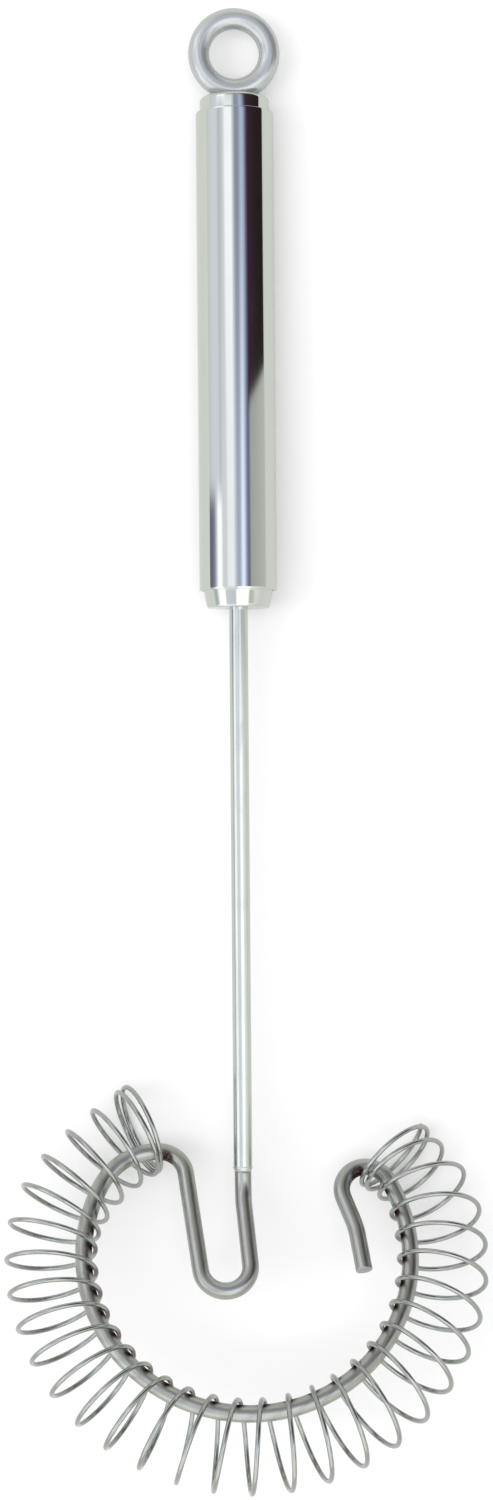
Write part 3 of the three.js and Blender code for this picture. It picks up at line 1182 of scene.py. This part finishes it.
@dataclass(frozen=True)
class Viewpoint:
    """Where the photograph was taken from, in a frame turned about the handle."""

    place: Triple = (1.25, 75.24, 480.0)
    roll_about_handle: float = -2.6
    picture_turn: float = 0.47
    lens: float = 64.0
    sensor: float = 36.0
    nearest: float = 10.0

    def turn(self) -> np.ndarray:
        """The turn about the handle's axis as a matrix."""
        return np.array(Matrix.Rotation(math.radians(self.roll_about_handle), 3, "Y"))

    def build(self, placement: Placement) -> None:
        """Makes the scene's camera.

        Args:
            placement: Where the whisk lies.
        """
        turn = self.turn()
        tilt = math.radians(self.picture_turn)
        up = turn @ np.array([math.sin(tilt), math.cos(tilt), 0.0])
        back = turn @ np.array([0.0, 0.0, 1.0])
        axes = placement.directions(np.array([np.cross(up, back), up, back]))
        data = bpy.data.cameras.new("photo_camera")
        data.lens = self.lens
        data.sensor_width = self.sensor
        data.clip_start = self.nearest * METRES
        matrix = Matrix(axes.T.tolist()).to_4x4()
        matrix.translation = Vector(placement.points(turn @ np.array(self.place)))
        camera = placed("photo_camera", data)
        camera.matrix_world = matrix
        bpy.context.scene.camera = camera


@dataclass(frozen=True)
class Backdrop:
    """A curved backdrop over the whisk that only metal shows, with soft bands along the handle.

    Each band is a bearing about the handle, in degrees from straight above, and its light.
    """

    radius: float = 900.0
    half_length: float = 2500.0
    edge: float = 92.0
    steps: int = 92
    strength: float = 2.0
    sky: Bands = (
        (-92, (0.92, 0.92, 0.90)), (-66, (0.90, 0.90, 0.88)), (-58, (1.05, 1.05, 1.02)),
        (-40, (1.00, 1.00, 0.97)), (-29, (0.75, 0.75, 0.72)), (-8, (0.55, 0.54, 0.52)),
        (0, (0.42, 0.41, 0.40)), (18, (0.46, 0.44, 0.42)), (30, (0.24, 0.21, 0.20)),
        (40, (0.14, 0.11, 0.11)), (80, (0.12, 0.10, 0.10)), (92, (0.40, 0.39, 0.38)))
    top: Bands = (
        (-92, (0.92, 0.92, 0.95)), (-66, (0.95, 0.97, 1.08)), (-58, (1.90, 1.90, 2.00)),
        (-36, (1.90, 1.90, 2.00)), (-29, (0.95, 0.97, 1.10)), (-8, (0.80, 0.82, 0.95)),
        (0, (0.42, 0.44, 0.56)), (18, (0.60, 0.66, 0.90)), (27, (0.20, 0.18, 0.26)),
        (35, (0.06, 0.04, 0.06)), (86, (0.04, 0.03, 0.03)), (92, (0.35, 0.34, 0.33)))
    far: Bands = (
        (-92, (0.90, 0.90, 0.95)), (-72, (1.02, 1.04, 1.20)), (-58, (1.02, 1.04, 1.20)),
        (-48, (0.80, 0.82, 0.90)), (-36, (1.05, 1.05, 1.17)), (-29, (1.55, 1.53, 1.72)),
        (-12, (1.60, 1.58, 1.76)), (-6, (0.90, 0.92, 1.08)), (0, (0.45, 0.47, 0.60)),
        (8, (0.39, 0.43, 0.62)), (18, (0.74, 0.82, 1.12)), (25, (0.60, 0.64, 0.93)),
        (31, (0.22, 0.18, 0.30)), (37, (0.07, 0.03, 0.06)), (60, (0.035, 0.025, 0.03)),
        (86, (0.03, 0.02, 0.02)), (92, (0.30, 0.29, 0.28)))
    near: Bands = (
        (-92, (0.24, 0.24, 0.36)), (-79, (0.24, 0.24, 0.36)), (-71, (0.45, 0.47, 0.62)),
        (-64, (1.10, 1.08, 1.18)), (-59, (1.75, 1.72, 1.86)), (-51, (1.75, 1.72, 1.86)),
        (-43, (1.05, 1.05, 1.18)), (-34, (1.05, 1.05, 1.18)), (-27, (1.40, 1.40, 1.58)),
        (-12, (1.42, 1.42, 1.60)), (-6, (0.95, 0.98, 1.15)), (1, (0.60, 0.64, 0.84)),
        (8, (0.66, 0.73, 1.02)), (14, (1.25, 1.36, 1.70)), (19, (1.30, 1.40, 1.74)),
        (25, (0.62, 0.68, 1.00)), (30, (0.30, 0.31, 0.50)), (35, (0.24, 0.25, 0.36)),
        (41, (0.60, 0.60, 0.58)), (80, (0.75, 0.74, 0.71)), (92, (0.80, 0.79, 0.76)))
    head: Bands = (
        (-92, (0.85, 0.87, 0.92)), (-80, (0.60, 0.62, 0.72)), (-72, (1.25, 1.25, 1.32)),
        (-66, (1.75, 1.75, 1.80)), (-46, (1.75, 1.75, 1.80)), (-38, (1.12, 1.14, 1.26)),
        (-12, (1.12, 1.14, 1.26)), (-4, (1.00, 1.04, 1.16)), (2, (1.90, 1.90, 1.96)),
        (33, (1.90, 1.90, 1.96)), (42, (1.35, 1.35, 1.38)), (60, (1.20, 1.20, 1.20)),
        (75, (1.05, 1.05, 1.03)), (92, (0.98, 0.98, 0.96)))
    tip: Bands = (
        (-92, (0.70, 0.72, 0.80)), (-86, (0.70, 0.72, 0.80)), (-80, (1.95, 1.95, 2.00)),
        (-48, (1.95, 1.95, 2.00)), (-42, (0.98, 1.00, 1.12)), (-9, (0.90, 0.93, 1.06)),
        (-4, (1.95, 1.95, 2.00)), (34, (1.95, 1.95, 2.00)), (41, (0.78, 0.79, 0.78)),
        (92, (0.80, 0.80, 0.78)))
    foot: Bands = (
        (-92, (0.95, 0.96, 0.96)), (-75, (1.45, 1.47, 1.47)), (-50, (1.70, 1.72, 1.72)),
        (-20, (1.60, 1.62, 1.62)), (20, (1.75, 1.77, 1.77)), (50, (1.35, 1.36, 1.35)),
        (75, (1.05, 1.06, 1.05)), (92, (0.95, 0.95, 0.94)))
    panel_bearings: Pair = (30.0, 36.0)
    panel_end: Pair = (238.0, 246.0)
    panel_slope: float = 0.33
    left_bearings: Pair = (-50.0, -40.0)
    left_end: Pair = (196.0, 216.0)
    fade: Pair = (170.0, 390.0)
    tip_start: Pair = (-420.0, -320.0)
    head_start: Pair = (-190.0, -160.0)
    handle_start: Pair = (100.0, 145.0)
    top_start: Pair = (440.0, 520.0)
    sky_start: Pair = (700.0, 900.0)
    horizon: Colour = (0.88, 0.89, 0.86)
    horizon_start: Pair = (1250.0, 1900.0)

    def build(self, placement: Placement, turn: np.ndarray) -> None:
        """Makes the backdrop.

        Args:
            placement: Where the whisk lies.
            turn: The turn about the handle's axis that the bearings start from.
        """
        count = self.steps + 1
        bearing = np.linspace(-self.edge, self.edge, count)
        across = self.radius * np.sin(np.radians(bearing))
        above = self.radius * np.cos(np.radians(bearing))
        ends = (-self.half_length, self.half_length)
        rows = [np.stack([across, np.full_like(across, end), above], -1) for end in ends]
        points = placement.points(np.concatenate(rows) @ turn.T)
        faces = [(i, i + 1, count + i + 1, count + i) for i in range(self.steps)]
        mesh = bpy.data.meshes.new("curved_backdrop")
        mesh.from_pydata(points.tolist(), [], faces)
        marks = {BEARING: np.tile(bearing, 2), ALONG: np.repeat(ends, count)}
        for name, values in marks.items():
            mark = mesh.attributes.new(name, "FLOAT", "POINT")
            mark.data.foreach_set("value", values.astype(np.float32))
        mesh.materials.append(self.material())
        made = placed("curved_backdrop", mesh)
        for ray in ("camera", "diffuse", "transmission", "volume_scatter", "shadow"):
            setattr(made, f"visible_{ray}", False)

    def ramp(self, bearing: Signal, bands: Bands) -> Signal:
        """The light over the bearings.

        Args:
            bearing: The bearing about the handle.
            bands: The bands, from left to right.

        Returns:
            The light's colour.
        """
        share = (bearing + self.edge) * (0.5 / self.edge)
        stops = [((place + self.edge) * 0.5 / self.edge, dimmed(colour, 1 / self.strength))
                 for place, colour in bands]
        return bearing.graph.signal("ShaderNodeValToRGB", {"stops": stops}, {0: share})

    def material(self) -> bpy.types.Material:
        """Builds the backdrop's glow.

        Returns:
            The material.
        """
        made, graph = new_graph("curved_backdrop")
        bearing = graph.attribute(BEARING, "Fac")
        along = graph.attribute(ALONG, "Fac")
        slow = graph.between(along, *self.fade)
        right = graph.between(bearing, *self.panel_bearings)
        left = graph.between(bearing, *self.left_bearings, 1.0, 0.0)
        panel = graph.between(along - bearing * self.panel_slope, *self.panel_end)
        patch = graph.between(along, *self.left_end)
        share = slow + right * (panel - slow) + left * (patch - slow)
        handle = graph.mix(share, self.ramp(bearing, self.near), self.ramp(bearing, self.far))
        glow = self.ramp(bearing, self.foot)
        for start, light in ((self.tip_start, self.ramp(bearing, self.tip)),
                             (self.head_start, self.ramp(bearing, self.head)),
                             (self.handle_start, handle),
                             (self.top_start, self.ramp(bearing, self.top)),
                             (self.sky_start, self.ramp(bearing, self.sky)),
                             (self.horizon_start, dimmed(self.horizon, 1 / self.strength))):
            glow = graph.mix(graph.between(along, *start), glow, light)
        surface = graph.signal("ShaderNodeEmission", None,
                               {"Color": glow, "Strength": self.strength})
        graph.node("ShaderNodeOutputMaterial", None, {"Surface": surface})
        made.cycles.emission_sampling = "NONE"
        return made


@dataclass(frozen=True)
class Studio:
    """Plain pale floor, soft light, and the backdrop over the whisk. Its lengths are metres."""

    floor_colour: Colour = (0.78, 0.78, 0.78)
    floor_lift: float = 0.12
    floor_size: float = 12.0
    plain_from: float = 0.45
    plain_at: float = 1.1
    ambient: float = 0.86
    lamp_power: float = 6.3
    lamp_size: Pair = (0.42, 1.2)
    lamp_place: Triple = (-0.29, 0.0, 1.0)

    def build(self, placement: Placement, view: Viewpoint) -> None:
        """Makes floor, lamp, world and backdrop.

        Args:
            placement: Where the whisk lies.
            view: Where the picture is taken from.
        """
        self.build_floor()
        self.build_lamp()
        self.build_world()
        Backdrop().build(placement, view.turn())

    def build_floor(self) -> None:
        """Makes the floor, which keeps the whisk's shadow and goes plain white far out."""
        half = self.floor_size / 2
        mesh = bpy.data.meshes.new("pale_floor")
        corners = [(-half, -half, 0.0), (half, -half, 0.0), (half, half, 0.0), (-half, half, 0.0)]
        mesh.from_pydata(corners, [], [(0, 1, 2, 3)])
        made, graph = new_graph("pale_floor")
        place = graph.signal("ShaderNodeTexCoord", output="Object")
        distance = graph.signal("ShaderNodeVectorMath", {"operation": "LENGTH"}, {0: place},
                                "Value")
        plain = graph.between(distance, self.plain_from, self.plain_at)
        paper = graph.signal("ShaderNodeBsdfDiffuse", None, {"Color": (*self.floor_colour, 1.0)})
        lift = graph.signal("ShaderNodeEmission", None, {"Strength": self.floor_lift})
        lifted = graph.signal("ShaderNodeAddShader", None, {0: paper, 1: lift})
        shown = graph.signal("ShaderNodeLightPath", output="Is Camera Ray")
        near = graph.signal("ShaderNodeMixShader", None, {0: shown, 1: paper, 2: lifted})
        white = graph.signal("ShaderNodeEmission", None, {"Strength": 1.0})
        surface = graph.signal("ShaderNodeMixShader", None, {0: plain, 1: near, 2: white})
        graph.node("ShaderNodeOutputMaterial", None, {"Surface": surface})
        made.cycles.emission_sampling = "NONE"
        mesh.materials.append(made)
        placed("pale_floor", mesh)

    def build_lamp(self) -> None:
        """Makes the soft box over the whisk."""
        data = bpy.data.lights.new("soft_box", "AREA")
        data.shape = "RECTANGLE"
        data.size, data.size_y = self.lamp_size
        data.energy = self.lamp_power
        lamp = placed("soft_box", data)
        lamp.location = self.lamp_place
        lamp.rotation_mode = "QUATERNION"
        lamp.rotation_quaternion = Vector(self.lamp_place).to_track_quat("Z", "Y")
        lamp.visible_glossy = False

    def build_world(self) -> None:
        """Makes the world: white to look at, and a plain level of light on all else."""
        world = bpy.data.worlds.new("studio_world")
        bpy.context.scene.world = world
        world.use_nodes = True
        graph = ShaderGraph(world.node_tree)
        light, white = (graph.signal("ShaderNodeBackground", None,
                                     {"Strength": strength, "Color": (1, 1, 1, 1)})
                        for strength in (self.ambient, 1.0))
        path = graph.node("ShaderNodeLightPath")
        camera, glossy, through = (Signal(graph, path.outputs[name]) for name in
                                   ("Is Camera Ray", "Is Glossy Ray", "Is Transmission Ray"))
        seen = camera + glossy + through
        surface = graph.signal("ShaderNodeMixShader", None, {0: seen, 1: light, 2: white})
        graph.node("ShaderNodeOutputWorld", None, {"Surface": surface})


def main() -> None:
    """Builds the whisk, then the studio round it."""
    logging.basicConfig(level=logging.INFO, format="%(name)s: %(message)s")
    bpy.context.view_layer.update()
    bpy.context.scene.view_settings.view_transform = "Standard"
    wire = FrameWire()
    placement = Placement.from_record(frame["record"], wire.ring_centre)
    finishes = {Slot.POLISHED: MirrorSteel(), Slot.BRIGHT: DrawnSteel(), Slot.WIRE: SatinWire(),
                Slot.SPRING: SpringWire(), Slot.WELD: WeldMetal()}
    shop = Workshop(placement, {slot: finish.material() for slot, finish in finishes.items()})
    handle = Handle()
    handle.build_tube(shop)
    handle.build_top_plug(shop)
    handle.build_ferrule(shop)
    handle.dress_tang_weld(shop)
    HangingRing(handle.plug_top).build(shop)
    shaft = Shaft()
    shaft.build_rod(shop)
    shaft.build_bead(shop)
    coil = Coil(wire)
    frame_piece = wire.build(shop)
    coil_piece = coil.build(shop)
    # Painted contact shade and rub wear where the coil and the ring wire meet.
    mark_shade_and_rubs(frame_piece, placement.points(coil.shaded_and_worn_places()), coil.wire, wire.shade_and_rub_reach)
    mark_shade_and_rubs(coil_piece, placement.points(wire.centres()), wire.radius, coil.shade_and_rub_reach)
    view = Viewpoint()
    Studio().build(placement, view)
    view.build(placement)


if __name__ == "__main__":
    main()
